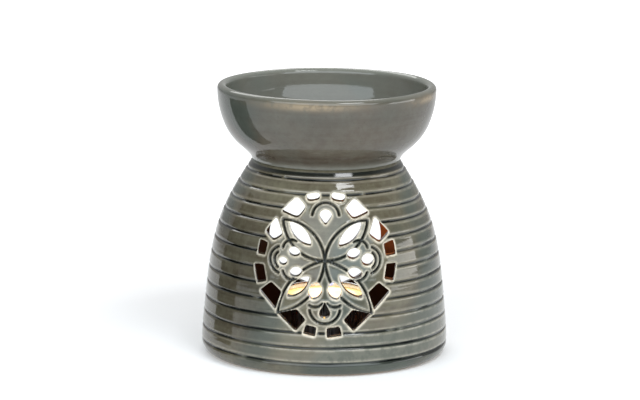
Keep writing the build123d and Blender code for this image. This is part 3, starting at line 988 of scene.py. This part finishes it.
WICK_LEAN = (0.9, 0.4)
wick_low, wick_high = (corner.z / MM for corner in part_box("candle_wick"))
wick_profile = [(0, wick_low), (0.9, wick_low)]
wick_profile += [(1.0, height) for height in np.linspace(wick_low + 0.4, wick_high - 0.9, 30)]
wick_profile += [(0.9, wick_high - 0.5), (0.6, wick_high - 0.2), (0, wick_high - 0.1)]
wick_mesh = turned(wick_profile, whole_turn(24), "charred_wick")
places = places_of(wick_mesh)
turn = turn_of(places)
places[:, :2] *= (1 - 0.1 * (1 + np.cos(3 * turn + 1.6 * places[:, 2])))[:, None]
bend = np.clip((places[:, 2] - wick_high + 7) / 7, 0, 1) ** 2
places[:, :2] += bend[:, None] * WICK_LEAN
move_to(wick_mesh, places)
wick = show(wick_mesh, "charred_wick", "tealight", wick_material())
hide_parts("candle_wick")

flame_low, flame_tall = wick_high - 2.4, 20.0
flame_profile = [(0, flame_low)]
for share in np.linspace(0.04, 0.98, 26):
    half_wide = 4.3 * sqrt(sin(pi * share**0.62)) * (1 - share) ** 0.42
    flame_profile.append((half_wide, flame_low + flame_tall * share))
flame_profile.append((0, flame_low + flame_tall))
flame_mesh = turned(flame_profile, whole_turn(32), "candle_flame")
places = places_of(flame_mesh)
places[:, :2] += WICK_LEAN
move_to(flame_mesh, places)
flame = show(flame_mesh, "candle_flame", "tealight", flame_material(flame_low * MM))
flame.visible_shadow = False

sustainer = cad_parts["wick_sustainer"]
sustainer.data.materials.clear()
sustainer.data.materials.append(tin_material())


# Studio
ROOM_LEVEL = 0.36
MIRRORED_FRONT, MIRRORED_BACK = 0.1, 0.47
PAPER_GLOW_NEAR, PAPER_GLOW_FAR, PAPER_GLOW_MIRRORED = 0.17, 0.62, 0.15
LAMPS_AIM = Vector((0, 0, 0.09))
FLAME_HEART = 11


def plain_square(name, size, place, facing=None):
    """A flat square, for the floor and for cards."""
    bm = bmesh.new()
    bmesh.ops.create_grid(bm, x_segments=1, y_segments=1, size=0.5)
    bmesh.ops.scale(bm, verts=bm.verts, vec=(size[0], size[1], 1))
    mesh = bpy.data.meshes.new(name)
    bm.to_mesh(mesh)
    bm.free()
    obj = bpy.data.objects.new(name, mesh)
    scene.collection.objects.link(obj)
    obj.location = place
    if facing is not None:
        obj.rotation_euler = (Vector(facing) - Vector(place)).to_track_quat("Z", "Y").to_euler()
    return obj


def straight_rays(tree):
    """One for what the camera sees, straight or through something clear."""
    path = tree.nodes.new("ShaderNodeLightPath").outputs
    return reckoned(tree, "MAXIMUM", path["Is Camera Ray"], path["Is Transmission Ray"])


def white_paper():
    """Matt paper that the camera sees as white, with the burner's shadow on it."""
    material, tree, shader = new_material("white_paper")
    place = object_place(tree)
    grain = put(tree, "ShaderNodeTexNoise", Vector=place, Scale=60.0, Detail=3.0)
    color = blended(tree, grain.outputs["Fac"], (0.83, 0.83, 0.83, 1), (0.86, 0.86, 0.86, 1))
    tree.links.new(color, shader.inputs["Base Color"])
    shader.inputs["Roughness"].default_value = 0.9
    shader.inputs["Specular IOR Level"].default_value = 0.0
    shader.inputs["Emission Color"].default_value = (1, 1, 1, 1)
    glossy = tree.nodes.new("ShaderNodeLightPath").outputs["Is Glossy Ray"]
    far = put(tree, "ShaderNodeVectorMath", {"operation": "LENGTH"}, Vector=place).outputs["Value"]
    whiter = ranged(tree, far, 0.1, 0.6, PAPER_GLOW_NEAR, PAPER_GLOW_FAR)
    glow = reckoned(tree, "MULTIPLY", straight_rays(tree), whiter)
    glow = reckoned(tree, "ADD", glow, reckoned(tree, "MULTIPLY", glossy, PAPER_GLOW_MIRRORED))
    tree.links.new(glow, shader.inputs["Emission Strength"])
    return material


def dark_cloth():
    """Black felt for the card beside the burner."""
    material, tree, shader = new_material("dark_cloth")
    weave = put(tree, "ShaderNodeTexNoise", Vector=object_place(tree), Scale=900.0)
    color = blended(tree, weave.outputs["Fac"], (0.01, 0.012, 0.01, 1), (0.02, 0.024, 0.02, 1))
    tree.links.new(color, shader.inputs["Base Color"])
    shader.inputs["Roughness"].default_value = 1.0
    return material


def room_light():
    """A white room that is dim on the camera's side where the glaze mirrors it."""
    world = bpy.data.worlds.new("studio")
    scene.world = world
    world.use_nodes = True
    tree = world.node_tree
    toward = tree.nodes.new("ShaderNodeTexCoord").outputs["Generated"]
    back = put(tree, "ShaderNodeSeparateXYZ", Vector=toward).outputs["Y"]
    mirrored = ranged(tree, back, -0.2, 0.4, MIRRORED_FRONT - ROOM_LEVEL, MIRRORED_BACK - ROOM_LEVEL)
    glossy = tree.nodes.new("ShaderNodeLightPath").outputs["Is Glossy Ray"]
    level = reckoned(tree, "MULTIPLY", straight_rays(tree), 1 - ROOM_LEVEL)
    level = reckoned(tree, "ADD", level, ROOM_LEVEL)
    level = reckoned(tree, "ADD", level, reckoned(tree, "MULTIPLY", glossy, mirrored))
    tree.links.new(level, tree.nodes["Background"].inputs["Strength"])
    tree.nodes["Background"].inputs["Color"].default_value = (1, 1, 1, 1)


def softbox(name, place, size, glow, color=(1, 1, 1)):
    """A flat lamp aimed at the burner, as bright as glow."""
    data = bpy.data.lights.new(name, "AREA")
    data.shape = "RECTANGLE"
    data.size, data.size_y = size
    data.energy = glow * pi * size[0] * size[1]
    data.color = color
    lamp = bpy.data.objects.new(name, data)
    scene.collection.objects.link(lamp)
    lamp.location = place
    lamp.rotation_euler = (LAMPS_AIM - Vector(place)).to_track_quat("-Z", "Y").to_euler()
    lamp.visible_camera = False


room_light()
floor = plain_square("floor", (9, 9), (0, 0, 0))
floor.data.materials.append(white_paper())
softbox("front_softbox", (-0.03, -0.8, 0.45), (2.4, 0.7), 3.0, (0.86, 0.94, 1.0))
softbox("key_softbox", (0.4, -0.6, 1.06), (0.42, 0.24), 13.0, (0.96, 0.98, 1.0))
softbox("right_softbox", (0.9, -0.1, 0.13), (0.6, 0.22), 3.6)
softbox("back_softbox", (-0.25, 0.75, 0.85), (0.9, 0.5), 3.0)
flag = plain_square("left_flag", (0.044, 0.108), (-0.1, -0.008, 0.054), facing=(0, -0.008, 0.054))
flag.data.materials.append(dark_cloth())
flag.visible_camera = False
flag.visible_diffuse = False
flag.visible_shadow = False

flame_light_data = bpy.data.lights.new("flame_light", "POINT")
flame_light_data.energy = 0.014
flame_light_data.color = (1.0, 0.5, 0.16)
flame_light_data.shadow_soft_size = 0.003
flame_light = bpy.data.objects.new("flame_light", flame_light_data)
scene.collection.objects.link(flame_light)
flame_light.location = Vector((*WICK_LEAN, flame_low + FLAME_HEART)) * MM
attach(flame_light, "tealight")
